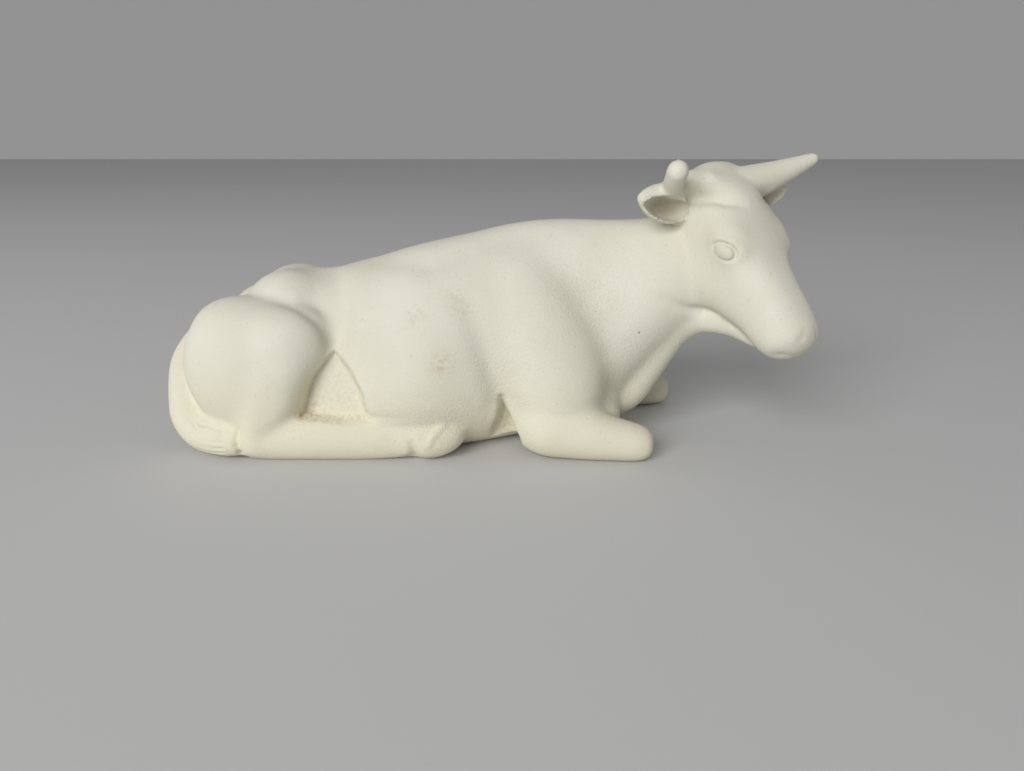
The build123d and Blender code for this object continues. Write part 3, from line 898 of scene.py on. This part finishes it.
def mark_clay(piece):
    """Store on the piece where brown grit has gathered, with painted shade along the flank hollow's rim and
    in the elbow's gap, where the clay is left coarse and where painted shade darkens the ears' hollows."""
    points = points_of(piece)
    flat = points[:, [0, 2]]
    outline = HOLLOWS[0][0]
    # Brown along the flank hollow's rim and a little inside it: painted shade in the crease
    distance, share = path_distance(flat, outline[4:] + outline[:1])
    grit_and_shade = 0.6 * np.exp(-(distance / 0.7) ** 2) + 0.25 * eased(inside_outline(flat, outline) / 3)
    grit_and_shade *= np.abs(points[:, 1]) > 15
    for middle, reach, strength in GRIT_AND_SHADE_PLACES:
        grit_and_shade += strength * np.exp(-(((points - np.array(middle)) / np.array(reach)) ** 2).sum(axis=1))
    folded = points.copy()
    folded[:, 1] = np.abs(points[:, 1])
    coarse = np.full(len(points), 0.3)
    for middle, reach in COARSE:
        coarse += 0.7 * np.exp(-(((folded - np.array(middle)) / np.array(reach)) ** 2).sum(axis=1))
    # Painted shade inside each ear's hollow, on the faces that open forward
    painted_ear_shade = np.zeros(len(points))
    for hand, word in SIDES:
        root, reach, open_way, width_way = ear_frame(hand)
        offset = points - root
        share = offset @ reach / (reach @ reach)
        across = (offset @ width_way + EAR_CUP_LOWER) / EAR_SHADE_ACROSS
        away = ((share - EAR_SHADE_MIDDLE) / EAR_SHADE_REACH) ** 2 + across ** 2
        painted_ear_shade += np.exp(-away) * eased(normals_of(piece) @ open_way + 0.6) * (offset @ open_way < 2.5)
    for name, values in (("grit_and_shade", grit_and_shade), ("coarse", coarse), ("painted_ear_shade", painted_ear_shade)):
        layer = piece.data.attributes.new(name, "FLOAT", "POINT")
        layer.data.foreach_set("value", np.clip(values, 0, 1))


def bisque():
    """Unglazed cream clay: faint drifts of colour, warmer low down, brown grit and stains, brown painted
    shade along the flank hollow's rim and in the elbow's gap, dark painted shade in the ears' hollows, fine
    grain where it was left coarse and one red-brown speck on the neck."""
    material = bpy.data.materials.new("bisque")
    material.use_nodes = True
    nodes = material.node_tree.nodes
    links = material.node_tree.links
    shader = nodes["Principled BSDF"]
    place = nodes.new("ShaderNodeTexCoord").outputs["Object"]

    def noise(scale, detail):
        node = nodes.new("ShaderNodeTexNoise")
        links.new(place, node.inputs["Vector"])
        node.inputs["Scale"].default_value = scale
        node.inputs["Detail"].default_value = detail
        return node.outputs["Fac"]

    def ranged(value, low, high, first, last):
        node = nodes.new("ShaderNodeMapRange")
        links.new(value, node.inputs["Value"])
        for name, number in (("From Min", low), ("From Max", high), ("To Min", first), ("To Max", last)):
            node.inputs[name].default_value = number
        return node.outputs["Result"]

    def times(first, second):
        node = nodes.new("ShaderNodeMath")
        node.operation = "MULTIPLY"
        links.new(first, node.inputs[0])
        links.new(second, node.inputs[1])
        return node.outputs["Value"]

    def mixed(share, under, colour):
        node = nodes.new("ShaderNodeMix")
        node.data_type = "RGBA"
        links.new(share, node.inputs["Factor"])
        if isinstance(under, tuple):
            node.inputs["A"].default_value = (*under, 1.0)
        else:
            links.new(under, node.inputs["A"])
        node.inputs["B"].default_value = (*colour, 1.0)
        return node.outputs["Result"]

    def stored(name):
        node = nodes.new("ShaderNodeAttribute")
        node.attribute_name = name
        return node.outputs["Fac"]

    split = nodes.new("ShaderNodeSeparateXYZ")
    links.new(place, split.inputs["Vector"])
    speck = nodes.new("ShaderNodeVectorMath")
    speck.operation = "DISTANCE"
    links.new(place, speck.inputs[0])
    speck.inputs[1].default_value = SPECK_PLACE
    grain = noise(2100.0, 4.0)
    colour = mixed(ranged(noise(45.0, 3.0), 0.35, 0.65, 0.0, 1.0), CREAM, PALE_CREAM)
    colour = mixed(ranged(split.outputs["Z"], 0.004, 0.03, 0.75, 0.0), colour, WARM_CREAM)
    colour = mixed(ranged(noise(900.0, 2.0), 0.66, 0.76, 0.0, 0.22), colour, GRIT_AND_SHADE_BROWN)
    # Brown where grit has gathered, and painted shade along the flank hollow's rim and in the elbow's gap
    colour = mixed(times(stored("grit_and_shade"), ranged(noise(1000.0, 4.0), 0.42, 0.66, 0.0, 0.6)), colour, GRIT_AND_SHADE_BROWN)
    colour = mixed(times(stored("coarse"), ranged(grain, 0.35, 0.5, 0.09, 0.0)), colour, GRIT_AND_SHADE_BROWN)
    # Dark brown painted shade in the ears' hollows
    colour = mixed(times(stored("painted_ear_shade"), ranged(noise(300.0, 2.0), 0.3, 0.7, 0.65, 0.85)), colour, EAR_SHADE_BROWN)
    colour = mixed(ranged(speck.outputs["Value"], 0.0002, 0.00045, 1.0, 0.0), colour, RED_BROWN)
    links.new(colour, shader.inputs["Base Color"])
    links.new(ranged(noise(120.0, 3.0), 0.3, 0.7, 0.72, 0.88), shader.inputs["Roughness"])
    shader.inputs["Specular IOR Level"].default_value = 0.25
    unevenness = nodes.new("ShaderNodeBump")
    unevenness.inputs["Distance"].default_value = 0.0012
    unevenness.inputs["Strength"].default_value = 0.12
    links.new(noise(130.0, 2.0), unevenness.inputs["Height"])
    texture = nodes.new("ShaderNodeBump")
    texture.inputs["Distance"].default_value = 0.00025
    links.new(stored("coarse"), texture.inputs["Strength"])
    links.new(grain, texture.inputs["Height"])
    links.new(unevenness.outputs["Normal"], texture.inputs["Normal"])
    links.new(texture.outputs["Normal"], shader.inputs["Normal"])
    return material


def floor():
    deselect_all()
    bpy.ops.mesh.primitive_plane_add(size=FLOOR_SIZE)
    ground = bpy.context.object
    ground.name = "floor"
    material = bpy.data.materials.new("pale_floor")
    material.use_nodes = True
    shader = material.node_tree.nodes["Principled BSDF"]
    shader.inputs["Base Color"].default_value = FLOOR_GREY
    shader.inputs["Roughness"].default_value = 0.9
    ground.data.materials.append(material)


def area_light(name, place, target, size, power):
    lamp = bpy.data.lights.new(name, "AREA")
    lamp.shape = "DISK"
    lamp.size = size
    lamp.energy = power
    holder = bpy.data.objects.new(name, lamp)
    bpy.context.collection.objects.link(holder)
    holder.location = place
    holder.rotation_euler = (Vector(target) - Vector(place)).to_track_quat("-Z", "Y").to_euler()


def studio():
    world = bpy.data.worlds.new("soft_room")
    bpy.context.scene.world = world
    world.use_nodes = True
    background = world.node_tree.nodes["Background"]
    background.inputs["Color"].default_value = WHITE
    background.inputs["Strength"].default_value = ROOM_LIGHT
    area_light("key", KEY_PLACE, KEY_TARGET, KEY_SIZE, KEY_POWER)
    bpy.context.scene.view_settings.view_transform = "Standard"


def photo_camera():
    eye = bpy.data.cameras.new("camera")
    eye.sensor_width = SENSOR_WIDTH
    eye.lens = FOCAL_PIXELS / PICTURE_PIXELS * eye.sensor_width
    eye.clip_start = NEAREST_VIEW
    holder = bpy.data.objects.new("camera", eye)
    bpy.context.collection.objects.link(holder)
    holder.location = CAMERA_PLACE
    holder.rotation_euler = (math.radians(90 - CAMERA_DIP), 0.0, 0.0)
    bpy.context.scene.camera = holder


studio()
photo_camera()
floor()
material = bisque()
for name, piece in cut_apart(sculpt(clay_cow())).items():
    piece.data.materials.clear()
    piece.data.materials.append(material)
    mark_clay(piece)
    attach(piece, "root")
    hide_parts(name)
